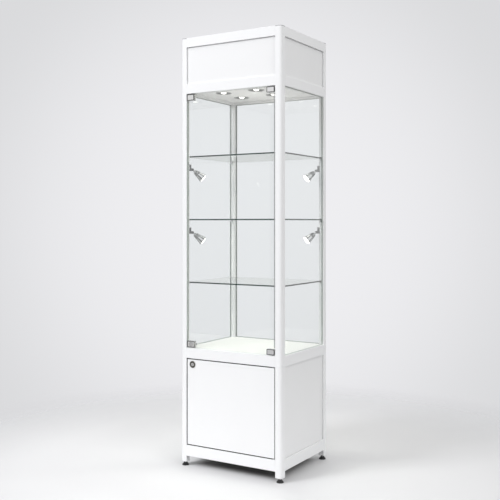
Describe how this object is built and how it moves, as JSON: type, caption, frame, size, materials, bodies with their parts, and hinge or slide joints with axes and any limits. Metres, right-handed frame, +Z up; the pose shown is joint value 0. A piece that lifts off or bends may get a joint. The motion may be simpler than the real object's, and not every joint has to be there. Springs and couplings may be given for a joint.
{
  "type": "glass display cabinet",
  "caption": "Tall glazed display cabinet in a square aluminium frame, with glass shelves, a hinged glass door, spotlights and a lockable cupboard below.",
  "frame": {"origin": "middle of the footprint at floor level, at the underside of the feet", "axes": "+X to the right, +Y to the back, +Z up; both doors face -Y"},
  "size_m": [0.535, 0.445, 1.98],
  "materials": {
    "frame_paint": "white satin powder coat on aluminium extrusions",
    "white_board": "white melamine-faced board",
    "door_board": "white melamine-faced board",
    "pane_glass": "clear float glass, faint green at the edge",
    "shelf_glass": "clear toughened glass with ground arrises",
    "bright_chrome": "polished chrome plate",
    "satin_chrome": "satin chrome plate",
    "pin_steel": "turned steel",
    "bezel_metal": "satin nickel-grey paint",
    "lamp_glass": "frosted lamp face",
    "driver_plastic": "white moulded case",
    "gasket_rubber": "dark grey glazing rubber",
    "seal_plastic": "pale translucent seal",
    "cap_plastic": "grey moulded cap",
    "insert_plastic": "black moulded insert",
    "foot_plastic": "black moulded foot on a threaded stem",
    "magnet_case": "pale moulded case"
  },
  "bodies": {
    "cabinet": {"post_front_left": "frame_paint", "post_front_right": "frame_paint", "post_rear_right": "frame_paint", "post_rear_left": "frame_paint", "post_caps": "cap_plastic", "foot_inserts": "insert_plastic", "base_rail_front": "frame_paint", "base_rail_rear": "frame_paint", "base_rails_side": "frame_paint", "mid_rail_front": "frame_paint", "mid_rail_rear": "frame_paint", "mid_rails_side": "frame_paint", "header_rail_front": "frame_paint", "header_rail_rear": "frame_paint", "header_rails_side": "frame_paint", "top_rails_long": "frame_paint", "top_rails_side": "frame_paint", "header_panels": "white_board", "cupboard_panels": "white_board", "roof_panel": "white_board", "ceiling_panel": "white_board", "display_deck": "white_board", "cupboard_floor": "white_board", "side_glass_panes": "pane_glass", "rear_glass_pane": "pane_glass", "glazing_gaskets": "gasket_rubber", "shelf_bottom": "shelf_glass", "shelf_middle": "shelf_glass", "shelf_top": "shelf_glass", "shelf_supports": "bright_chrome", "downlight_bezels": "bezel_metal", "downlight_lamps": "lamp_glass", "lamp_driver": "driver_plastic", "cable_gland": "gasket_rubber", "spotlight_mounts": "bright_chrome", "glass_door_pivots": "pin_steel", "catch_magnet": "magnet_case", "door_seal_strips": "seal_plastic"},
    "glass_door": {"glass_door_pane": "pane_glass", "glass_door_clamps": "bright_chrome", "glass_lock_case": "satin_chrome", "catch_clip": "satin_chrome"},
    "glass_lock": {"glass_lock_plug": "bright_chrome"},
    "cupboard_door": {"cupboard_door_panel": "door_board", "cupboard_door_frame": "frame_paint", "cupboard_hinge_pins": "pin_steel", "cupboard_lock_case": "satin_chrome"},
    "cupboard_lock": {"cupboard_lock_plug": "bright_chrome"},
    "spotlight_front_upper": {"spotlight_head_front_upper": "bright_chrome", "spotlight_lamp_front_upper": "lamp_glass"},
    "spotlight_front_lower": {"spotlight_head_front_lower": "bright_chrome", "spotlight_lamp_front_lower": "lamp_glass"},
    "spotlight_rear_upper": {"spotlight_head_rear_upper": "bright_chrome", "spotlight_lamp_rear_upper": "lamp_glass"},
    "spotlight_rear_lower": {"spotlight_head_rear_lower": "bright_chrome", "spotlight_lamp_rear_lower": "lamp_glass"},
    "foot_front_left": {"levelling_foot_front_left": "foot_plastic"},
    "foot_front_right": {"levelling_foot_front_right": "foot_plastic"},
    "foot_rear_right": {"levelling_foot_rear_right": "foot_plastic"},
    "foot_rear_left": {"levelling_foot_rear_left": "foot_plastic"}
  },
  "joints": [
    {"name": "glass_door_hinge", "type": "hinge", "parent": "cabinet", "child": "glass_door", "pos_m": [0.222, -0.214, 1.13475], "axis": [0, 0, 1], "range_deg": [0, 110]},
    {"name": "glass_lock_turn", "type": "hinge", "parent": "glass_door", "child": "glass_lock", "pos_m": [-0.211, -0.214, 0.5655], "axis": [0, 1, 0], "range_deg": [0, 90]},
    {"name": "cupboard_door_hinge", "type": "hinge", "parent": "cabinet", "child": "cupboard_door", "pos_m": [0.225, -0.2145, 0.299], "axis": [0, 0, 1], "range_deg": [0, 110]},
    {"name": "cupboard_lock_turn", "type": "hinge", "parent": "cupboard_door", "child": "cupboard_lock", "pos_m": [-0.202, -0.2145, 0.4725], "axis": [0, -1, 0], "range_deg": [0, 90]},
    {"name": "spotlight_tilt_front_upper", "type": "hinge", "parent": "cabinet", "child": "spotlight_front_upper", "pos_m": [-0.22804, -0.18304, 1.373], "axis": [-0.7071, 0.7071, 0], "range_deg": [-60, 45]},
    {"name": "spotlight_tilt_front_lower", "type": "hinge", "parent": "cabinet", "child": "spotlight_front_lower", "pos_m": [-0.22804, -0.18304, 1.0805], "axis": [-0.7071, 0.7071, 0], "range_deg": [-60, 45]},
    {"name": "spotlight_tilt_rear_upper", "type": "hinge", "parent": "cabinet", "child": "spotlight_rear_upper", "pos_m": [0.22804, 0.18304, 1.373], "axis": [0.7071, -0.7071, 0], "range_deg": [-60, 45]},
    {"name": "spotlight_tilt_rear_lower", "type": "hinge", "parent": "cabinet", "child": "spotlight_rear_lower", "pos_m": [0.22804, 0.18304, 1.0805], "axis": [0.7071, -0.7071, 0], "range_deg": [-60, 45]},
    {"name": "foot_height_front_left", "type": "slide", "parent": "cabinet", "child": "foot_front_left", "axis": [0, 0, -1], "range_m": [0, 0.012]},
    {"name": "foot_height_front_right", "type": "slide", "parent": "cabinet", "child": "foot_front_right", "axis": [0, 0, -1], "range_m": [0, 0.012]},
    {"name": "foot_height_rear_right", "type": "slide", "parent": "cabinet", "child": "foot_rear_right", "axis": [0, 0, -1], "range_m": [0, 0.012]},
    {"name": "foot_height_rear_left", "type": "slide", "parent": "cabinet", "child": "foot_rear_left", "axis": [0, 0, -1], "range_m": [0, 0.012]}
  ]
}
